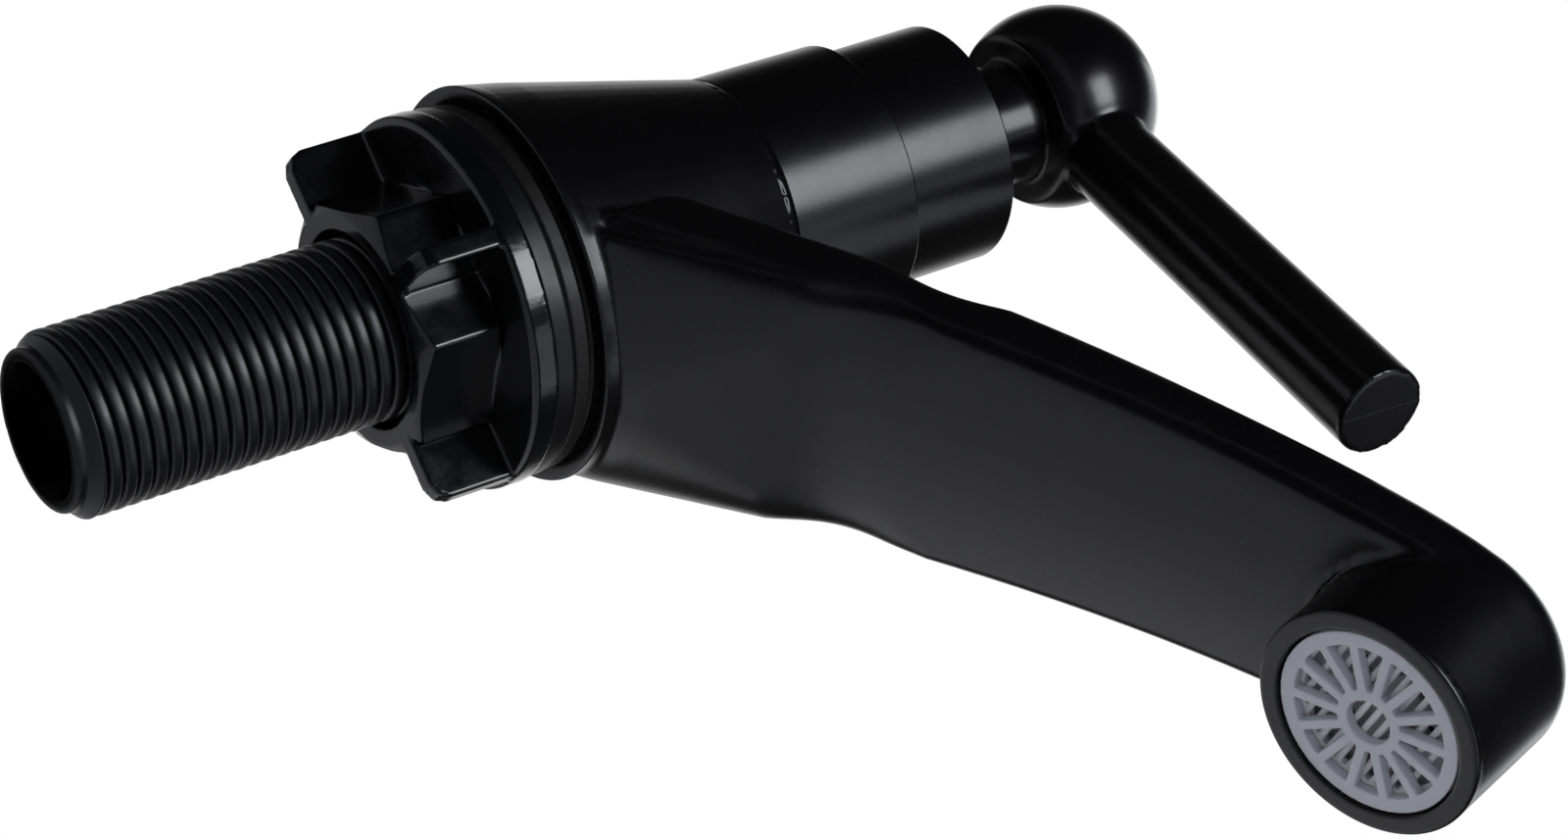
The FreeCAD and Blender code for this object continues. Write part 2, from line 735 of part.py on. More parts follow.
def makeAerator():
    """Insert of the nozzle, from the outlet inwards: spoked grid, bars, shell, plate and seal."""
    place = nozzlePlace()
    low = "insertRecess"
    high = low + " + gridThickness"
    rim = ring("GridRim", "insertRadius - gridRim", "insertRadius", low, high)
    hub = ring("GridHub", "hubHole", "hubRadius", low, high)
    spokes = []
    for index in range(int(size("spokeCount"))):
        spoke = block("Spoke", "insertRadius - gridRim - hubRadius + past", "spokeWidth", low, high,
                      "(insertRadius - gridRim + hubRadius) / 2")
        doc.recompute()
        spin = FreeCAD.Rotation(up, 360 / size("spokeCount") * index)
        spoke.setExpression("Placement.Base.x", None)
        spoke.setExpression("Placement.Base.y", None)
        spoke.Placement = FreeCAD.Placement(vec(), spin).multiply(spoke.Placement)
        spokes.append(spoke)
    grid = join("Grid", [rim, hub] + spokes)
    grid.Placement = place
    keep(grid, "aerator_grid")
    barLow = high
    barHigh = high + " + barThickness"
    inner = "insertRadius - shellWall - gap"
    frameRing = ring("BarFrame", inner + " - shellWall", inner, barLow, barHigh)
    reach = size(inner) - size("shellWall") / 2
    pitch = size("barPitch")
    count = int(reach / pitch)
    bars = []
    for index in range(-count, count + 1):
        across = index * pitch
        if abs(across) > reach - size("barWidth"):
            continue
        half = math.sqrt(reach ** 2 - across ** 2)
        bar = block("Bar", "barWidth", str(2 * half), barLow, barHigh, str(across))
        bars.append(bar)
    layer = join("BarLayer", [frameRing] + bars)
    layer.Placement = place.multiply(FreeCAD.Placement(vec(), FreeCAD.Rotation(up, size("barTurn"))))
    keep(layer, "aerator_bars")
    shellTop = high + " + shellHeight"
    shell = ring("Shell", "insertRadius - shellWall", "insertRadius", high, shellTop)
    shell.Placement = place
    keep(shell, "aerator_shell")
    plateLow = barHigh + " + plateGap"
    plate = cylinder("FlowPlate", inner, plateLow, plateLow + " + plateThick")
    holes = []
    for index in range(int(size("plateHoles"))):
        angle = "(360 / plateHoles * %d)" % index
        spot = ("plateRing * cos%s" % angle, "plateRing * sin%s" % angle, plateLow + " - past")
        holes.append(part("Cylinder", "FlowHole", spot, Radius="plateHole", Height="plateThick + 2 * past"))
    drilled = cut("FlowPlateDrilled", plate, holes)
    drilled.Placement = place
    keep(drilled, "flow_plate")
    sealTop = shellTop + " + insertSeal"
    seal = ring("InsertSeal", "insertRadius - spoutWall", "insertRadius", shellTop, sealTop)
    seal.Placement = place
    keep(seal, "aerator_seal")


makeBody()
makeTail()
makeNut()
makeWashers()
makeCartridge()
makeSpindle()
makeSleeve()
makeSkirt()
makeHandle()
makeAerator()
doc.recompute()

broken = [item.Name for item in doc.Objects if "Invalid" in item.State or "Error" in item.State]
for piece in nodes:
    if piece.Shape.isNull() or not piece.Shape.isValid() or len(piece.Shape.Solids) != 1:
        broken.append(piece.Label)
if broken:
    raise RuntimeError("did not build: " + ", ".join(broken))

os.makedirs("parts", exist_ok=True)
for piece in nodes:
    piece.Shape.exportStep("parts/%s.step" % piece.Label)
    print("%-22s %9.1f mm3" % (piece.Label, piece.Shape.Volume))
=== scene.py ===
import bmesh
import bpy
import math
from mathutils import Matrix, Vector
from mathutils.kdtree import KDTree


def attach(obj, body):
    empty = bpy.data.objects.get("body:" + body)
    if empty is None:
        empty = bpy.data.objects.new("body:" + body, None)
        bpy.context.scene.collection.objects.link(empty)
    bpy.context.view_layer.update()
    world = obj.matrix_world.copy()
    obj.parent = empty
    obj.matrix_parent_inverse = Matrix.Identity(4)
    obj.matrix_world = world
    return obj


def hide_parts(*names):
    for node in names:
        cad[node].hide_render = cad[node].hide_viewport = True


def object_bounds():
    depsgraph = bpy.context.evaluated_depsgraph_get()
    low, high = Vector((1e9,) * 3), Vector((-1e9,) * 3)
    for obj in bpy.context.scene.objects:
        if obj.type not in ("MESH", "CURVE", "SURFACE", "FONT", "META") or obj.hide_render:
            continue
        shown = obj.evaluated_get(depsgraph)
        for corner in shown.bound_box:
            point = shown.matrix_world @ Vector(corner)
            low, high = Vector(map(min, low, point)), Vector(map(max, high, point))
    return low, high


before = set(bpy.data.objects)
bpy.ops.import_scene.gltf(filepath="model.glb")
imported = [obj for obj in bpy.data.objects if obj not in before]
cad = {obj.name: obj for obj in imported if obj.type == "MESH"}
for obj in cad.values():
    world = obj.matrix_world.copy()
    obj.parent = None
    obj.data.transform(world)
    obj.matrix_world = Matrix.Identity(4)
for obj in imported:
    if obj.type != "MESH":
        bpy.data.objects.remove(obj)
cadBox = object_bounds()
mm = 0.001
same = 1e-7  # metres: points this close are one point
touch = 1e-6  # metres: a point this close to a cut lies on it
weld = 2e-6  # metres: corners of a copied solid that are joined
ringSteps = 192  # sides of a turned ring


def toLinear(colour):
    values = [int(colour[i:i + 2], 16) / 255 for i in (1, 3, 5)]
    return [v / 12.92 if v <= 0.04045 else ((v + 0.055) / 1.055) ** 2.4 for v in values] + [1]


def addNode(tree, kind, settings=None, sockets=None):
    node = tree.nodes.new(kind)
    for name, value in (settings or {}).items():
        setattr(node, name, value)
    for name, value in (sockets or {}).items():
        if isinstance(value, bpy.types.NodeSocket):
            tree.links.new(value, node.inputs[name])
        else:
            node.inputs[name].default_value = value
    return node


def newMaterial(name):
    material = bpy.data.materials.new(name)
    material.use_nodes = True
    material.node_tree.nodes.clear()
    return material, material.node_tree


def finish(name, look):
    material, tree = newMaterial(name)
    place = addNode(tree, "ShaderNodeTexCoord").outputs["Object"]
    cloud = addNode(tree, "ShaderNodeTexNoise", {}, {
        "Vector": place, "Scale": 1 / (look["cloud"] * mm), "Detail": 3.0, "Roughness": 0.6})
    grain = addNode(tree, "ShaderNodeTexNoise", {}, {
        "Vector": place, "Scale": 1 / (look["grain"] * mm), "Detail": 2.0, "Roughness": 0.5})
    colour = addNode(tree, "ShaderNodeMix", {"data_type": "RGBA"}, {
        0: cloud.outputs[0], 6: toLinear(look["dark"]), 7: toLinear(look["light"])})
    rough = addNode(tree, "ShaderNodeMapRange", {}, {
        "Value": cloud.outputs[0], "From Min": 0.3, "From Max": 0.7,
        "To Min": look["rough"][0], "To Max": look["rough"][1]})
    height = grain.outputs[0]
    if "seam" in look:  # the line where the two halves of the mould met
        seam = look["seam"]
        turn = math.radians(seam["turn"])
        away = addNode(tree, "ShaderNodeVectorMath", {"operation": "DOT_PRODUCT"}, {
            0: place, 1: (math.cos(turn), -math.sin(turn), 0)})
        near = addNode(tree, "ShaderNodeMath", {"operation": "ABSOLUTE"}, {
            0: away.outputs["Value"]})
        ridge = addNode(tree, "ShaderNodeMapRange", {"interpolation_type": "SMOOTHSTEP"}, {
            "Value": near.outputs[0], "From Min": 0.0, "From Max": seam["wide"] * mm,
            "To Min": seam["raised"], "To Max": 0.0})
        height = addNode(tree, "ShaderNodeMath", {}, {0: height, 1: ridge.outputs[0]}).outputs[0]
    bump = addNode(tree, "ShaderNodeBump", {}, {
        "Height": height, "Strength": look["bump"], "Distance": look["depth"] * mm})
    shader = addNode(tree, "ShaderNodeBsdfPrincipled", {}, {
        "Base Color": colour.outputs[2], "Roughness": rough.outputs[0],
        "Normal": bump.outputs[0], "Metallic": look.get("metallic", 0.0)})
    if "ior" in look:  # a metal keeps the default
        shader.inputs["IOR"].default_value = look["ior"]
    if "subsurface" in look:  # light enters milky plastic and leaves it a little further on
        shader.inputs["Subsurface Weight"].default_value = look["subsurface"]
        shader.inputs["Subsurface Radius"].default_value = (1.0, 1.0, 1.1)
        shader.inputs["Subsurface Scale"].default_value = look["glow"] * mm
        shader.inputs["Transmission Weight"].default_value = look["transmission"]
    addNode(tree, "ShaderNodeOutputMaterial", {}, {"Surface": shader.outputs[0]})
    return material


# cloud and grain are the widths in mm of the slow and the fine pattern, depth the fine one's
# height in mm, rough the range that the slow one moves the roughness over
satinBlack = {"dark": "#070709", "light": "#0a0a0c", "rough": (0.25, 0.29), "cloud": 6.0,
              "grain": 0.35, "bump": 0.12, "depth": 0.01, "ior": 1.5}
finishes = {
    # moulded ABS with a fine eroded tool texture: a deep black with soft, wide highlights
    "satinMouldedAbs": satinBlack,
    # the same with the raised line of the split mould along the lever and over its ball
    "satinMouldedLever": {**satinBlack, "rough": (0.22, 0.26),
                          "seam": {"turn": 6.2, "wide": 0.12, "raised": 6.0}},
    # moulded nylon of the tail: the thread's tool is less polished, so the ridges stay dull
    "threadNylon": {"dark": "#0a0b0d", "light": "#101115", "rough": (0.34, 0.42),
                    "cloud": 2.6, "grain": 0.6, "bump": 0.3, "depth": 0.03, "ior": 1.53},
    # moulded glass-filled nylon from a polished tool: dark blue-grey sheen, sharper highlights
    "glossMouldedNylon": {"dark": "#08090b", "light": "#0d0e11", "rough": (0.14, 0.22),
                          "cloud": 2.6, "grain": 0.7, "bump": 0.35, "depth": 0.03,
                          "ior": 1.53},
    # turned acetal washer: a little duller than the nut
    "satinAcetal": {"dark": "#09090b", "light": "#0d0d10", "rough": (0.36, 0.44),
                    "cloud": 3.0, "grain": 0.3, "bump": 0.2, "depth": 0.01, "ior": 1.48},
    # moulded EPDM rubber: dull, slightly brown black
    "mouldedEpdm": {"dark": "#0c0b0b", "light": "#141313", "rough": (0.45, 0.6),
                    "cloud": 3.0, "grain": 0.25, "bump": 0.3, "depth": 0.02, "ior": 1.5},
    # moulded nitrile rings inside the cartridge: smooth and a greyer black than the EPDM
    "mouldedNitrile": {"dark": "#101012", "light": "#1a1a1c", "rough": (0.35, 0.45),
                       "cloud": 2.0, "grain": 0.2, "bump": 0.2, "depth": 0.01, "ior": 1.52},
    # moulded white acetal of the cartridge housing: warm white with a waxy sheen
    "whiteAcetal": {"dark": "#cfcfca", "light": "#dedddb", "rough": (0.3, 0.4),
                    "cloud": 5.0, "grain": 0.3, "bump": 0.1, "depth": 0.01, "ior": 1.48},
    # lapped alumina discs: off-white and nearly mirror smooth
    "lappedAlumina": {"dark": "#e2ddd2", "light": "#ece8df", "rough": (0.08, 0.14),
                      "cloud": 4.0, "grain": 0.1, "bump": 0.05, "depth": 0.004, "ior": 1.77},
    # turned brass of the spindle: warm yellow with a fairly sharp shine
    "turnedBrass": {"dark": "#c19a56", "light": "#d0ab68", "rough": (0.2, 0.3),
                    "cloud": 2.0, "grain": 0.15, "bump": 0.15, "depth": 0.01,
                    "metallic": 1.0},
    # bright spring steel of the clip and the screw: a plain grey shine
    "springSteel": {"dark": "#8c8d91", "light": "#a3a4a8", "rough": (0.22, 0.32),
                    "cloud": 1.5, "grain": 0.15, "bump": 0.15, "depth": 0.01,
                    "metallic": 1.0},
    # polypropylene deep in the insert, with painted light: its base colour is made paler to stand
    # in for light scattered between the walls
    "milkyInsidePaintedLight": {"dark": "#e6e7ec", "light": "#eeeff3", "rough": (0.3, 0.4),
                    "cloud": 3.0, "grain": 0.4, "bump": 0.1, "depth": 0.01, "ior": 1.49,
                    "subsurface": 0.6, "glow": 2.0, "transmission": 0.1},
    # moulded natural polypropylene of the insert's face: milky, and lit through
    "milkyPolypropylene": {"dark": "#c6c8d2", "light": "#d3d5de", "rough": (0.3, 0.4),
                           "cloud": 3.0, "grain": 0.4, "bump": 0.15, "depth": 0.01,
                           "ior": 1.49, "subsurface": 0.5, "glow": 1.2,
                           "transmission": 0.12},
}
made = {name: finish(name, look) for name, look in finishes.items()}
print("finishes made:", len(made))

# the CAD nodes that keep their own shape, each with its finish
carried = {
    "tail_seal": "mouldedNitrile", "seat_seal": "mouldedNitrile",
    "spindle_ring_lower": "mouldedNitrile", "spindle_ring_upper": "mouldedNitrile",
    "aerator_seal": "mouldedNitrile", "cartridge_housing": "whiteAcetal",
    "thrust_ring": "whiteAcetal", "fixed_disc": "lappedAlumina",
    "moving_disc": "lappedAlumina", "spindle": "turnedBrass", "spindle_clip": "springSteel",
    "handle_screw": "springSteel", "screw_cap": "satinMouldedAbs",
    "aerator_shell": "milkyInsidePaintedLight", "flow_plate": "milkyInsidePaintedLight",
}
for node, name in carried.items():
    cad[node].data.materials.clear()
    cad[node].data.materials.append(made[name])
print("inner pieces finished:", len(carried))


def addObject(name, data):
    item = bpy.data.objects.new(name, data)
    bpy.context.scene.collection.objects.link(item)
    return item


def addPiece(name, mesh, material, slot, body, *replaced):
    for polygon in mesh.polygons:
        polygon.use_smooth = True
    mesh.materials.clear()
    mesh.materials.append(made[material])
    piece = addObject(name, mesh)
    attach(piece, body)
    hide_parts(*replaced)
    print(name, len(mesh.polygons), "faces")
    return piece


def toMesh(name, bm):
    mesh = bpy.data.meshes.new(name)
    bm.to_mesh(mesh)
    bm.free()
    return mesh


def addTurned(name, outline, edge, material, slot, body, node):
    # a ring spun from the corners of its section, its sharp edges broken
    bm = bmesh.new()
    corners = [bm.verts.new((radius * mm, 0, height * mm)) for radius, height in outline]
    sides = [bm.edges.new(pair) for pair in zip(corners, corners[1:] + corners[:1])]
    bmesh.ops.spin(bm, geom=corners + sides, cent=(0, 0, 0), axis=(0, 0, 1),
                   angle=2 * math.pi, steps=ringSteps, use_merge=True)
    bmesh.ops.remove_doubles(bm, verts=bm.verts, dist=same)
    bmesh.ops.recalc_face_normals(bm, faces=bm.faces)
    sharp = [e for e in bm.edges if len(e.link_faces) == 2 and e.calc_face_angle() > 0.45]
    bmesh.ops.bevel(bm, geom=sharp, offset=edge * mm, affect="EDGES", segments=3, profile=0.5,
                    material=-1)
    piece = addPiece(name, toMesh(name, bm), material, slot, body, node)
    piece.modifiers.new("evenNormals", "WEIGHTED_NORMAL").weight = 50


def addSmooth(holder, passes, group=""):
    smooth = holder.modifiers.new("smooth", "SMOOTH")
    smooth.factor = 0.5
    smooth.iterations = passes
    smooth.vertex_group = group


def evaluated(mesh, change):
    # the mesh as the modifiers leave it that change adds
    holder = addObject("holder", mesh)
    change(holder)
    bpy.context.view_layer.update()
    graph = bpy.context.evaluated_depsgraph_get()
    result = bpy.data.meshes.new_from_object(holder.evaluated_get(graph))
    bpy.data.objects.remove(holder)
    return result


def remeshed(node, voxel, passes, extra=None):
    # a merged copy of a solid, rebuilt on a fine even grid
    bm = bmesh.new()
    bm.from_mesh(cad[node].data)
    bmesh.ops.remove_doubles(bm, verts=bm.verts, dist=weld)
    if extra:
        extra(bm)
    mesh = toMesh(node + "Copy", bm)

    def change(holder):
        grid = holder.modifiers.new("grid", "REMESH")
        grid.mode = "VOXEL"
        grid.voxel_size = voxel * mm
        addSmooth(holder, passes)
    return evaluated(mesh, change)


def soften(mesh, crease, reach, passes, hold=lambda point: 1.0):
    # smooths round the points of a crease, ever less out to the reach
    tree = KDTree(len(crease))
    for index, point in enumerate(crease):
        tree.insert(point, index)
    tree.balance()

    def change(holder):
        group = holder.vertex_groups.new(name="near")
        for vertex in mesh.vertices:
            away = tree.find(vertex.co)[2] / (reach * mm)
            if away < 1:
                share = (1 - away * away) ** 2 * hold(vertex.co)
                if share > 0.01:
                    group.add([vertex.index], share, "REPLACE")
        addSmooth(holder, passes, "near")
    return evaluated(mesh, change)


def creaseOf(mesh, away, keep, skin=0.35):
    # where the mesh leaves a surface: a vertex on it with a neighbour off it
    off = [away(vertex.co) > skin * mm for vertex in mesh.vertices]
    on = [abs(away(vertex.co)) < skin * mm for vertex in mesh.vertices]
    points = []
    for edge in mesh.edges:
        a, b = edge.vertices
        for here, there in ((a, b), (b, a)):
            if on[here] and off[there] and keep(mesh.vertices[here].co):
                points.append(mesh.vertices[here].co.copy())
    return points


def grow(bm, loop, start, end):
    # a round loop carried on from one radius and height to the next
    grown = bmesh.ops.extrude_edge_only(bm, edges=loop)["geom"]
    loop = [g for g in grown if isinstance(g, bmesh.types.BMEdge) and g.is_boundary]
    verts = [g for g in grown if isinstance(g, bmesh.types.BMVert)]
    bmesh.ops.scale(bm, verts=verts, vec=(end[0] / start[0], end[0] / start[0], 1))
    bmesh.ops.translate(bm, verts=verts, vec=(0, 0, (end[1] - start[1]) * mm))
    return loop


spout = {
    "reach": 98.8, "outlet": 46.9,  # the nozzle's rim, out from the tap's axis and up
    "tilt": 17.7,  # degrees that the nozzle points outward
    "nozzle": 13.5,  # radius
    "base": 22.9, "lip": 1.2,  # radius of the cone's foot, and where the cone starts
    "top": 15.7, "height": 30.35,  # radius and height of the cone's top
    "footSlope": 0.2018, "footTop": 6,  # the cone stands steeper below footTop
    "halfRoot": 19.9,  # half width of the arm at the tap's axis
    "crownRadius": 70,  # fullness of the underside, across
    "crownFall": (0.35, 0.9),  # how far down a face looks where the fullness sets in
    "crownStart": (16, 34), "crownEnd": (80, 92),  # where it comes and goes along the arm
    "rampEnd": 37.0, "rampHalf": 52, "rampHeights": (1.9, 9.0),
    "voxel": 0.42, "passes": 10,
}
# each blend: how far it reaches in mm, and how often it is smoothed
blends = {"ramp": (9, 300), "root": (10, 260), "edges": (6, 130), "nozzle": (8, 300)}
rims = {
    "foot": {"cut": 1.6, "edge": 0.3, "bore": 10.53, "recess": 20.4, "recessTop": 1.2},
    "head": {"cut": 29.6, "edge": 0.3, "bore": 11.95},
    "mouth": {"cut": 0.9, "edge": 0.4, "bore": 11.25},
}
coneSlope = (spout["base"] - spout["top"]) / (spout["height"] - spout["lip"])
nozzlePlace = (Matrix.Translation((0, -spout["reach"] * mm, spout["outlet"] * mm))
               @ Matrix.Rotation(-math.radians(spout["tilt"]), 4, "X"))
nozzleBack = nozzlePlace.inverted()


def coneRadius(height):
    return spout["base"] - coneSlope * (height - spout["lip"])


def fromCone(point):
    return math.hypot(point.x, point.y) - coneRadius(point.z / mm) * mm


def fromNozzle(point):
    local = nozzleBack @ point
    return math.hypot(local.x, local.y) - spout["nozzle"] * mm


def underNozzle(point):
    local = nozzleBack @ point
    return local.y > 1.5 * mm and 6 * mm < local.z < 16 * mm


def between(value, low, high):
    share = min(max((value - low * mm) / ((high - low) * mm), 0), 1)
    return share * share * (3 - 2 * share)


def endsOf(edges):
    return list(dict.fromkeys(v for e in edges for v in e.verts))


def fillRoot(bm):
    # the underside starts right at the body's foot: a ramp from there to a section of the arm
    copy = bm.copy()
    cut = bmesh.ops.bisect_plane(copy, geom=copy.verts[:] + copy.edges[:] + copy.faces[:],
                                 dist=same, plane_co=(0, -spout["rampEnd"] * mm, 0),
                                 plane_no=(0, 1, 0))["geom_cut"]
    points = [g.co.copy() for g in cut if isinstance(g, bmesh.types.BMVert)]
    copy.free()
    for degrees in range(-spout["rampHalf"], spout["rampHalf"] + 1, 4):
        turn = math.radians(270 + degrees)
        for height in spout["rampHeights"]:
            radius = coneRadius(height) - 0.15
            points.append(Vector((radius * math.cos(turn), radius * math.sin(turn), height)) * mm)
    hull = bmesh.ops.convex_hull(bm, input=[bm.verts.new(point) for point in points])
    spare = [g for g in hull["geom_interior"] + hull["geom_unused"]
             if isinstance(g, bmesh.types.BMVert)]
    bmesh.ops.delete(bm, geom=list(dict.fromkeys(spare)), context="VERTS")


def crown(mesh):
    # the underside is slightly full: its middle hangs lower than its two edges
    falls = [-vertex.normal.z for vertex in mesh.vertices]
    for vertex, fall in zip(mesh.vertices, falls):
        out = -vertex.co.y / mm
        half = spout["halfRoot"] + (spout["nozzle"] - spout["halfRoot"]) * min(
            max(out / spout["reach"], 0), 1)
        down = between(fall * mm, *spout["crownFall"])
        along = between(out * mm, *spout["crownStart"]) * (
            1 - between(out * mm, *spout["crownEnd"]))
        bulge = max(0, 1 - (vertex.co.x / mm / half) ** 2) * half * half / (
            2 * spout["crownRadius"])
        vertex.co.z -= bulge * down * along * mm


def narrowFoot(bm):
    for vertex in bm.verts:
        height = vertex.co.z / mm
        away = vertex.co.xy.length
        if spout["lip"] < height < spout["footTop"] and away > (spout["base"] - 3) * mm:
            near = 1 - between(abs(fromCone(vertex.co)), 0.2, 2.5)
            change = (coneSlope - spout["footSlope"]) * (height - spout["footTop"]) * near
            vertex.co.xy *= 1 + change * mm / away


def openLoop(bm, cut, radius):
    return [e for e in bm.edges if e.is_boundary and all(
        abs(v.co.z - cut * mm) < touch and abs(v.co.xy.length - radius * mm) < 1.2 * mm
        for v in e.verts)]


def rim(bm, place, cut, side, outer, inner):
    # a clean turned rim: the rough end is cut off and rebuilt from exact circles
    bmesh.ops.transform(bm, matrix=place.inverted(), verts=bm.verts)
    reach = (outer[0][0] + 3) * mm
    near = [f for f in bm.faces if f.calc_center_median().xy.length < reach
            and abs(f.calc_center_median().z - cut * mm) < 6 * mm]
    edges = list(dict.fromkeys(e for f in near for e in f.edges))
    bmesh.ops.bisect_plane(bm, geom=near + edges + endsOf(edges), dist=same,
                           plane_co=(0, 0, cut * mm), plane_no=(0, 0, side), clear_outer=True)
    rest = [v for v in bm.verts
            if v.co.xy.length < reach and (v.co.z - cut * mm) * side > touch]
    bmesh.ops.delete(bm, geom=rest, context="VERTS")
    ends = []
    for profile in (outer, inner):
        radius = profile[0][0]
        bmesh.ops.remove_doubles(bm, verts=endsOf(openLoop(bm, cut, radius)), dist=0.14 * mm)
        loop = openLoop(bm, cut, radius)
        for vertex in endsOf(loop):
            scale = radius * mm / vertex.co.xy.length
            vertex.co.x *= scale
            vertex.co.y *= scale
        for start, end in zip(profile, profile[1:]):
            loop = grow(bm, loop, start, end)
        print("rim at", cut, "with", len(loop), "sides")
        ends += loop
    bmesh.ops.bridge_loops(bm, edges=ends)
    bmesh.ops.transform(bm, matrix=place, verts=bm.verts)


def arc(centre, middle, radius, start, end):
    # points round a small edge radius
    steps = 4
    turns = [math.radians(start + (end - start) * i / steps) for i in range(steps + 1)]
    return [(centre + radius * math.cos(turn), middle + radius * math.sin(turn))
            for turn in turns]


def addRims(bm):
    foot, head, mouth = rims["foot"], rims["head"], rims["mouth"]
    out = spout["base"] - 0.05
    coneFoot = out - spout["footSlope"] * (foot["cut"] - foot["edge"] - 0.05)
    rim(bm, Matrix.Identity(4), foot["cut"], -1,
        [(coneFoot, foot["cut"]), (out, foot["edge"] + 0.05)]
        + arc(out - foot["edge"], foot["edge"], foot["edge"], 0, -90)
        + [(out - 0.55, 0.0), (foot["recess"] + 0.15, 0.0), (foot["recess"], 0.15),
           (foot["recess"], foot["recessTop"])],
        [(foot["bore"], foot["cut"]), (foot["bore"], foot["recessTop"])])
    top, high = spout["top"], spout["height"]
    rim(bm, Matrix.Identity(4), head["cut"], 1,
        [(coneRadius(head["cut"]), head["cut"])]
        + arc(top - head["edge"], high - head["edge"], head["edge"], 15, 90)
        + [(top - 0.6, high)],
        [(head["bore"], head["cut"]), (head["bore"], high - 0.1), (head["bore"] + 0.1, high),
         (head["bore"] + 0.45, high)])
    out = spout["nozzle"]
    rim(bm, nozzlePlace, mouth["cut"], -1,
        [(out, mouth["cut"])] + arc(out - mouth["edge"], mouth["edge"], mouth["edge"], 0, -90)
        + [(out - 0.7, 0.0)],
        [(mouth["bore"], mouth["cut"]), (mouth["bore"], 0.15), (mouth["bore"] + 0.15, 0.0),
         (mouth["bore"] + 0.45, 0.0)])


def makeBody():
    mesh = remeshed("tap_body", spout["voxel"], spout["passes"], fillRoot)
    crown(mesh)
    root = creaseOf(mesh, fromCone,
                    lambda p: 2 * mm < p.z < 29 * mm and p.xy.length > 14 * mm)
    ramp = [v.co.copy() for v in mesh.vertices
            if abs(v.co.y + spout["rampEnd"] * mm) < 0.5 * mm
            and v.normal.z < -0.7 and abs(v.co.x) < 13 * mm]
    print("root crease", len(root), "ramp", len(ramp))
    mesh = soften(mesh, ramp, *blends["ramp"])
    mesh = soften(mesh, root, *blends["root"], lambda p: between(p.z, 1.8, 4.5)
                  * (1 - between(p.z, 24, 29.5)) * between(p.xy.length, 14, 15.5))
    edges = [v.co.copy() for v in mesh.vertices if -93 * mm < v.co.y < -22 * mm
             and 0.35 < -v.normal.z < 0.75 and abs(v.co.x) > 9 * mm]
    mesh = soften(mesh, edges, *blends["edges"],
                  lambda p: between((nozzleBack @ p).z, 3, 7))
    back = creaseOf(mesh, fromNozzle, underNozzle)
    print("nozzle crease", len(back), "edges", len(edges))
    mesh = soften(mesh, back, *blends["nozzle"],
                  lambda p: between((nozzleBack @ p).z, 2, 6))
    bm = bmesh.new()
    bm.from_mesh(mesh)
    narrowFoot(bm)
    addRims(bm)
    bmesh.ops.recalc_face_normals(bm, faces=bm.faces)
    addPiece("tapBody", toMesh("tapBody", bm), "satinMouldedAbs", "satin_black", "tap",
             "tap_body")


makeBody()

tail = {
    "pitch": 1.814, "crest": 10.4775, "root": 9.35,  # the pipe thread
    "crestHalf": 0.33, "crestFall": 0.06,  # shares of the pitch and of the thread's height
    "nose": 9.2, "noseTop": -55.5, "round": 0.6,  # the narrowed end below the thread
    "end": -56.8, "mouth": 7.74, "mouthDepth": 2.2, "bore": 7.0,
    "spigot": 9.8, "spigotFoot": 1.2, "spigotTop": 10.0, "spigotRise": 0.6,  # in the body
    "samples": 14, "segments": 120,  # points in a pitch, and sides all round
}


def threadShape(phase):
    # broad rounded ridges with narrow grooves between them
    away = abs(phase % 1 - 0.5)
    if away < tail["crestHalf"]:
        return 1 - tail["crestFall"] * (away / tail["crestHalf"]) ** 2
    down = (away - tail["crestHalf"]) / (0.5 - tail["crestHalf"])
    return (1 - tail["crestFall"]) / 2 * (1 + math.cos(math.pi * down))


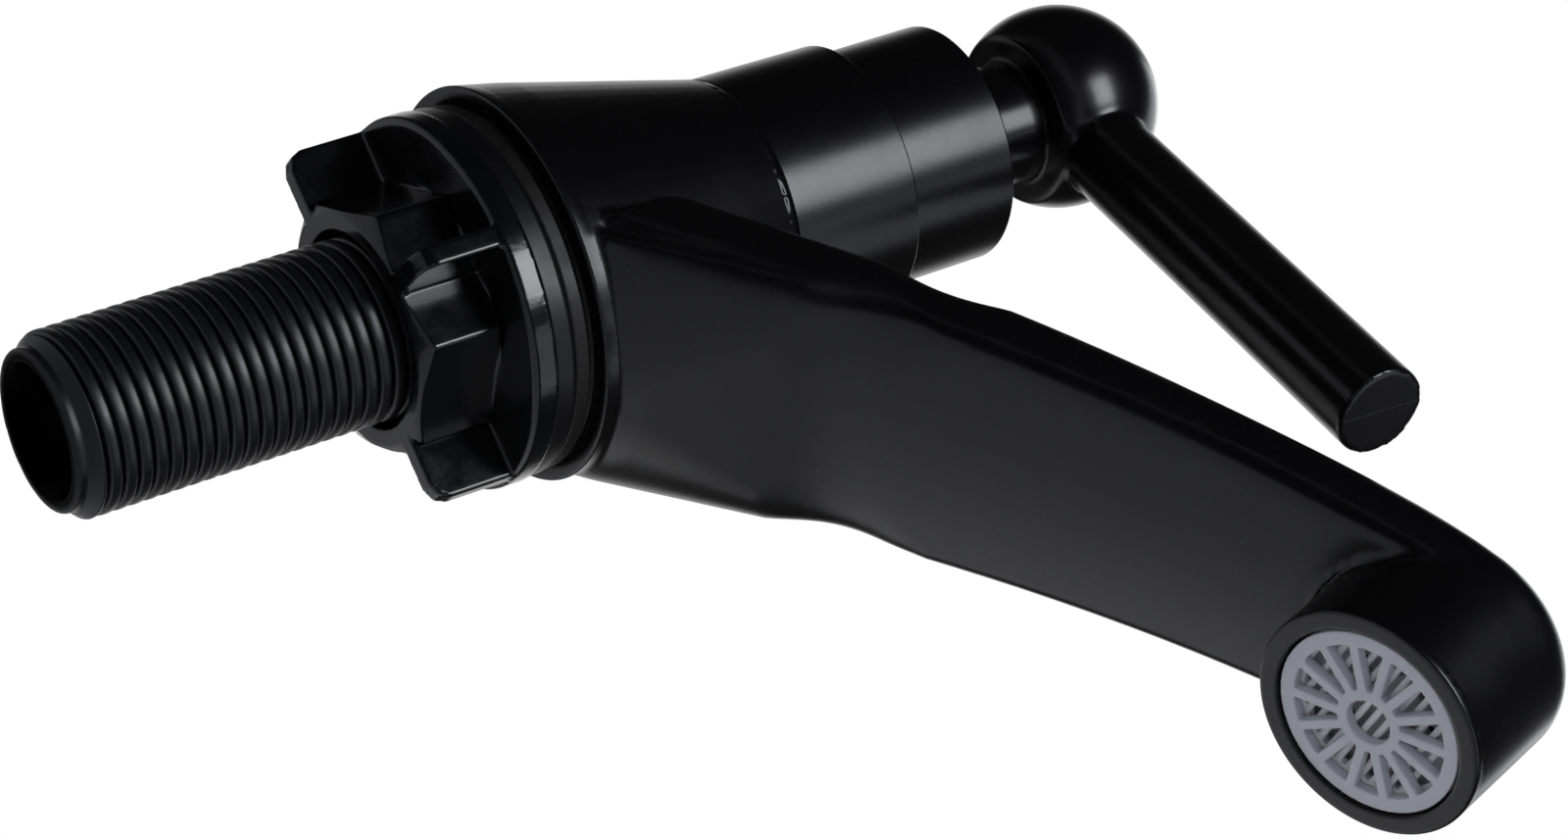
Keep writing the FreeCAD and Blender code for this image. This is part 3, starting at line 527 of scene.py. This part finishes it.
def makeTail():
    bm = bmesh.new()
    step = tail["pitch"] / tail["samples"]
    low = tail["end"] - 2 * tail["pitch"]
    count = int((tail["spigotTop"] - low) / step) + tail["samples"]
    line = []
    for index in range(count):
        ridge = (tail["crest"] - tail["root"]) * threadShape(index / tail["samples"])
        line.append(bm.verts.new(((tail["root"] + ridge) * mm, 0, (low + index * step) * mm)))
    edges = [bm.edges.new(pair) for pair in zip(line, line[1:])]
    bmesh.ops.spin(bm, geom=line + edges, cent=(0, 0, 0), axis=(0, 0, 1), angle=2 * math.pi,
                   steps=tail["segments"], dvec=(0, 0, tail["pitch"] * mm / tail["segments"]))
    bmesh.ops.remove_doubles(bm, verts=bm.verts, dist=weld)
    for height, side in ((tail["end"], -1), (tail["spigotTop"], 1)):
        bmesh.ops.bisect_plane(bm, geom=bm.verts[:] + bm.edges[:] + bm.faces[:], dist=same,
                               plane_co=(0, 0, height * mm), plane_no=(0, 0, side),
                               clear_outer=True)
    for vertex in bm.verts:  # the nose is turned down, and the spigot is plain
        height = vertex.co.z / mm
        radius = math.hypot(vertex.co.x, vertex.co.y) / mm
        limit = tail["nose"] + max(0, height - tail["noseTop"])
        near = tail["end"] + tail["round"] - height
        if near > 0:
            limit -= tail["round"] - math.sqrt(max(0, tail["round"] ** 2 - near ** 2))
        wanted = min(radius, limit)
        rise = height - tail["spigotFoot"] + tail["spigotRise"]
        wanted += (tail["spigot"] - wanted) * min(max(rise, 0) / tail["spigotRise"], 1)
        vertex.co.x *= wanted / radius
        vertex.co.y *= wanted / radius
    foot = [e for e in bm.edges if e.is_boundary and e.verts[0].co.z < 0]
    head = [e for e in bm.edges if e.is_boundary and e.verts[0].co.z > 0]
    end, seat = tail["end"], tail["end"] + tail["mouthDepth"]
    inside = [(tail["nose"] - tail["round"], end), (tail["mouth"] + 0.2, end),
              (tail["mouth"], end + 0.2), (tail["mouth"], seat - 0.15),
              (tail["mouth"] - 0.15, seat), (tail["bore"] + 0.15, seat),
              (tail["bore"], seat + 0.15), (tail["bore"], tail["spigotTop"])]
    for here, there in zip(inside, inside[1:]):
        foot = grow(bm, foot, here, there)
    bmesh.ops.bridge_loops(bm, edges=foot + head)
    bmesh.ops.remove_doubles(bm, verts=bm.verts, dist=touch)
    bmesh.ops.recalc_face_normals(bm, faces=bm.faces)
    addPiece("threadedTail", toMesh("threadedTail", bm), "threadNylon", "gloss_black", "tap",
             "threaded_tail")


makeTail()

nut = {
    "flat": 13.75,  # from the axis to a flat
    "end": -18.0, "flange": -8.2,  # heights that the hub lies between
    "endRadius": 13.35, "flare": 2.3,  # the chamfer that turns the hub's corners off
    "wingTurn": 30, "wing": 2.35,  # degrees to the first wing, and its thickness
    "hub": (12.9, 16.2),  # radii that only the hub's skin lies between
    "voxel": 0.25, "passes": 3,
}


def makeNut():
    mesh = remeshed("backnut", nut["voxel"], 0)
    for vertex in mesh.vertices:
        radius = vertex.co.xy.length / mm
        height = vertex.co.z / mm
        turn = math.degrees(math.atan2(vertex.co.y, vertex.co.x))
        fromWing = (turn - nut["wingTurn"] + 45) % 90 - 45
        beside = radius * abs(math.sin(math.radians(fromWing)))
        if beside < nut["wing"] / 2 + 0.15 or not nut["hub"][0] < radius < nut["hub"][1]:
            continue
        if nut["end"] + 0.12 < height < nut["flange"] - 0.15:
            fromFlat = turn % 60 - 30  # the hexagon's corners point to 0, 60, 120 degrees
            wanted = min(nut["flat"] / math.cos(math.radians(fromFlat)),
                         nut["endRadius"] + nut["flare"] * (height - nut["end"]))
            vertex.co.x *= wanted / radius
            vertex.co.y *= wanted / radius
    mesh = evaluated(mesh, lambda holder: addSmooth(holder, nut["passes"]))
    addPiece("wingedNut", mesh, "glossMouldedNylon", "gloss_black", "nut", "backnut")


makeNut()

rings = {
    "hole": 10.8, "rim": 21.3, "low": -5.2,  # the slip washer and the rubber one above it
    "rubberLow": -2.7, "gasketLow": -0.9, "gasketTop": 1.2,
    "gasketHole": 10.53, "gasketRim": 20.2,
}
addTurned("slipWasher", [
    (rings["hole"], rings["low"]), (rings["rim"], rings["low"]),
    (rings["rim"], rings["rubberLow"] - 0.5), (rings["rim"] - 0.3, rings["rubberLow"]),
    (rings["hole"], rings["rubberLow"])],
    0.15, "satinAcetal", "gloss_black", "washers", "slip_washer")
addTurned("rubberWasher", [
    (rings["hole"], rings["rubberLow"]), (rings["rim"] - 0.2, rings["rubberLow"]),
    (rings["rim"] - 0.2, rings["gasketLow"]), (rings["hole"], rings["gasketLow"])],
    0.3, "mouldedEpdm", "washer_rubber", "washers", "rubber_washer")
addTurned("baseGasket", [
    (rings["gasketHole"], rings["gasketLow"]), (rings["gasketRim"] - 0.4, rings["gasketLow"]),
    (rings["gasketRim"], rings["gasketLow"] + 0.3),
    (rings["gasketRim"] - 0.25, rings["gasketLow"] + 0.55),
    (rings["gasketRim"], 0.0), (rings["gasketRim"], rings["gasketTop"]),
    (rings["gasketHole"], rings["gasketTop"])],
    0.08, "mouldedEpdm", "washer_rubber", "tap", "base_gasket")

sleeve = {
    "inner": 9.7, "foot": 27.75, "footRadius": 11.9,  # the spigot that enters the body
    "low": 30.35, "lowRadius": 15.65, "top": 46.8, "topRadius": 15.45,
    "wall": 2.2, "hole": 6.9,
}
addTurned("bonnetSleeve", [
    (sleeve["inner"], sleeve["foot"]), (sleeve["footRadius"], sleeve["foot"]),
    (sleeve["footRadius"], sleeve["low"]), (sleeve["lowRadius"], sleeve["low"]),
    (sleeve["topRadius"], sleeve["top"]), (sleeve["hole"], sleeve["top"]),
    (sleeve["hole"], sleeve["top"] - sleeve["wall"]),
    (sleeve["topRadius"] - sleeve["wall"], sleeve["top"] - sleeve["wall"]),
    (sleeve["topRadius"] - sleeve["wall"], sleeve["low"] + sleeve["wall"]),
    (sleeve["inner"], sleeve["low"] + sleeve["wall"])],
    0.25, "satinMouldedAbs", "satin_black", "tap", "bonnet_sleeve")

skirt = {"radius": 14.1, "low": 47.1, "top": 61.1, "wall": 1.8, "hole": 7.25}
addTurned("handleSkirt", [
    (skirt["radius"] - skirt["wall"], skirt["low"]), (skirt["radius"], skirt["low"]),
    (skirt["radius"], skirt["top"]), (skirt["hole"], skirt["top"]),
    (skirt["hole"], skirt["top"] - skirt["wall"]),
    (skirt["radius"] - skirt["wall"], skirt["top"] - skirt["wall"])],
    0.25, "satinMouldedAbs", "satin_black", "lever", "handle_skirt")

lever = {
    "centre": 77.7, "ball": 12.1,  # height and radius of the ball
    "voxel": 0.3, "passes": 4, "blend": (2.2, 18),  # reach and passes where the rod leaves it
}


def fromBall(point):
    return (point - Vector((0, 0, lever["centre"] * mm))).length - lever["ball"] * mm


def makeLever():
    mesh = remeshed("lever_handle", lever["voxel"], lever["passes"])
    root = creaseOf(mesh, fromBall, lambda p: p.y < -8 * mm and p.z > 68 * mm)
    print("lever crease", len(root))
    mesh = soften(mesh, root, *lever["blend"])
    addPiece("leverHandle", mesh, "satinMouldedLever", "satin_black", "lever", "lever_handle")


makeLever()

# the insert's two milky pieces: width of the rebuilt grid in mm, and passes of smoothing
aerator = {"grid": (0.12, 3), "bars": (0.14, 2)}
addPiece("aeratorGrid", remeshed("aerator_grid", *aerator["grid"]), "milkyPolypropylene",
         "milky_plastic", "tap", "aerator_grid")
addPiece("aeratorBars", remeshed("aerator_bars", *aerator["bars"]), "milkyInsidePaintedLight",
         "milky_plastic", "tap", "aerator_bars")

camera = {"place": (-0.34979160, -0.33651957, -0.23624268), "right": (-0.1272, -0.5447, 0.8289),
          "back": (-0.6624, -0.5754, -0.4797), "lens": 110.98}


def setCamera():
    data = bpy.data.cameras.new("photoCamera")
    data.sensor_width = 36
    data.sensor_fit = "HORIZONTAL"
    data.lens = camera["lens"]
    item = addObject("photoCamera", data)
    back = Vector(camera["back"]).normalized()
    up = back.cross(Vector(camera["right"])).normalized()
    turn = Matrix((up.cross(back), up, back)).transposed().to_4x4()
    item.matrix_world = Matrix.Translation(camera["place"]) @ turn
    bpy.context.scene.camera = item


# each lamp: azimuth and height seen from the part in degrees, distance, width, height, power
lamps = {
    "key": (222, 27, 1.1, 0.56, 0.42, 6.4),
    "side": (276, 28, 1.1, 0.8, 0.42, 1.0),
    "fill": (20, 60, 1.2, 0.7, 0.7, 2.0),
}
lampColour = (0.93, 0.95, 1.0)  # slightly cool, as in the photograph's highlights
aim = Vector((0, -0.045, 0.03))  # the middle of the part
# a soft pool of light on the floor beside the part, mirrored by its underside
pool = {"from": (0.32, -0.05, 0.3), "onto": (0.2, -0.04, -0.0573), "spread": 46,
        "power": 4.4, "radius": 0.05}


def addLamp(name, kind, power, place, toward):
    data = bpy.data.lights.new(name, kind)
    data.energy = power
    turn = toward.to_track_quat("Z", "Y").to_matrix().to_4x4()
    addObject(name, data).matrix_world = Matrix.Translation(place) @ turn
    return data


def setLamps():
    for name, (azimuth, rise, away, wide, high, power) in lamps.items():
        a, e = math.radians(azimuth), math.radians(rise)
        toward = Vector((math.cos(a) * math.cos(e), math.sin(a) * math.cos(e), math.sin(e)))
        data = addLamp(name, "AREA", power, aim + toward * away, toward)
        data.shape = "RECTANGLE"
        data.size = wide
        data.size_y = high
        data.color = lampColour
    data = addLamp("pool", "SPOT", pool["power"], pool["from"],
                   Vector(pool["from"]) - Vector(pool["onto"]))
    data.spot_size = math.radians(pool["spread"])
    data.spot_blend = 1.0
    data.shadow_soft_size = pool["radius"]


room = {
    "panel": (0.78, 0.97),  # cosines from the view's axis: none of the white panel, all of it
    "sides": (-0.2, 0.8), "dim": (0.012, 0.03),  # the dark room from its left to its right
}


def setWorld():
    # the camera sees white, and the gloss mirrors a white panel in a dark room
    world = bpy.data.worlds.new("studio")
    bpy.context.scene.world = world
    world.use_nodes = True
    tree = world.node_tree
    tree.nodes.clear()
    way = addNode(tree, "ShaderNodeTexCoord").outputs["Generated"]
    behind = addNode(tree, "ShaderNodeVectorMath", {"operation": "DOT_PRODUCT"}, {
        0: way, 1: [-c for c in camera["back"]]})
    panel = addNode(tree, "ShaderNodeMapRange", {"interpolation_type": "SMOOTHSTEP"}, {
        "Value": behind.outputs["Value"], "From Min": room["panel"][0],
        "From Max": room["panel"][1], "To Min": 0.0, "To Max": 1.0})
    side = addNode(tree, "ShaderNodeSeparateXYZ", {}, {0: way})
    dim = addNode(tree, "ShaderNodeMapRange", {"interpolation_type": "SMOOTHSTEP"}, {
        "Value": side.outputs["X"], "From Min": room["sides"][0], "From Max": room["sides"][1],
        "To Min": room["dim"][0], "To Max": room["dim"][1]})
    light = addNode(tree, "ShaderNodeMath", {"operation": "MAXIMUM"}, {
        0: panel.outputs[0], 1: dim.outputs[0]})
    ray = addNode(tree, "ShaderNodeLightPath")
    seen = addNode(tree, "ShaderNodeMath", {"operation": "MAXIMUM"}, {
        0: ray.outputs["Is Camera Ray"], 1: ray.outputs["Is Transmission Ray"]})
    strength = addNode(tree, "ShaderNodeMath", {"operation": "MAXIMUM"}, {
        0: seen.outputs[0], 1: light.outputs[0]})
    shade = addNode(tree, "ShaderNodeBackground", {}, {
        "Color": (1, 1, 1, 1), "Strength": strength.outputs[0]})
    addNode(tree, "ShaderNodeOutputWorld", {}, {"Surface": shade.outputs[0]})


floor = {"half": 2.5, "gap": 0.0005, "colour": "#e6e6e8", "roughness": 0.7}
# black cards on the floor, out of the picture: centre and half sizes
cards = [(-0.41, 0.0, 0.33, 0.6), (0.9, 0.0, 0.5, 0.9), (0.25, 0.42, 0.15, 0.3)]
cardLift = 0.001


def flat(name, size, place, material):
    bm = bmesh.new()
    bmesh.ops.create_grid(bm, x_segments=1, y_segments=1, size=1)
    bmesh.ops.scale(bm, verts=bm.verts, vec=(size[0], size[1], 1))
    bmesh.ops.translate(bm, verts=bm.verts, vec=place)
    mesh = toMesh(name, bm)
    mesh.materials.append(material)
    item = addObject(name, mesh)
    return item


def setFloor():
    # pale paper that is clear from below, because the camera looks up through it
    material, tree = newMaterial("paleFloor")
    below = addNode(tree, "ShaderNodeNewGeometry").outputs["Backfacing"]
    paper = addNode(tree, "ShaderNodeBsdfPrincipled", {}, {
        "Base Color": toLinear(floor["colour"]), "Roughness": floor["roughness"]})
    clear = addNode(tree, "ShaderNodeBsdfTransparent")
    both = addNode(tree, "ShaderNodeMixShader", {}, {
        0: below, 1: paper.outputs[0], 2: clear.outputs[0]})
    addNode(tree, "ShaderNodeOutputMaterial", {}, {"Surface": both.outputs[0]})
    base = cadBox[0][2] - floor["gap"]
    flat("floor", (floor["half"], floor["half"]), (0, 0, base), material)
    material, tree = newMaterial("blackCard")
    cloth = addNode(tree, "ShaderNodeBsdfDiffuse", {}, {"Color": toLinear("#050505")})
    addNode(tree, "ShaderNodeOutputMaterial", {}, {"Surface": cloth.outputs[0]})
    for index, (x, y, halfX, halfY) in enumerate(cards):
        card = flat("blackCard%d" % index, (halfX, halfY), (x, y, base + cardLift), material)
        card.visible_camera = False
        card.visible_shadow = False
        card.visible_diffuse = False


setCamera()
setLamps()
setWorld()
setFloor()
print("camera, lamps, room and floor set")

bpy.context.scene.view_settings.view_transform = "Standard"
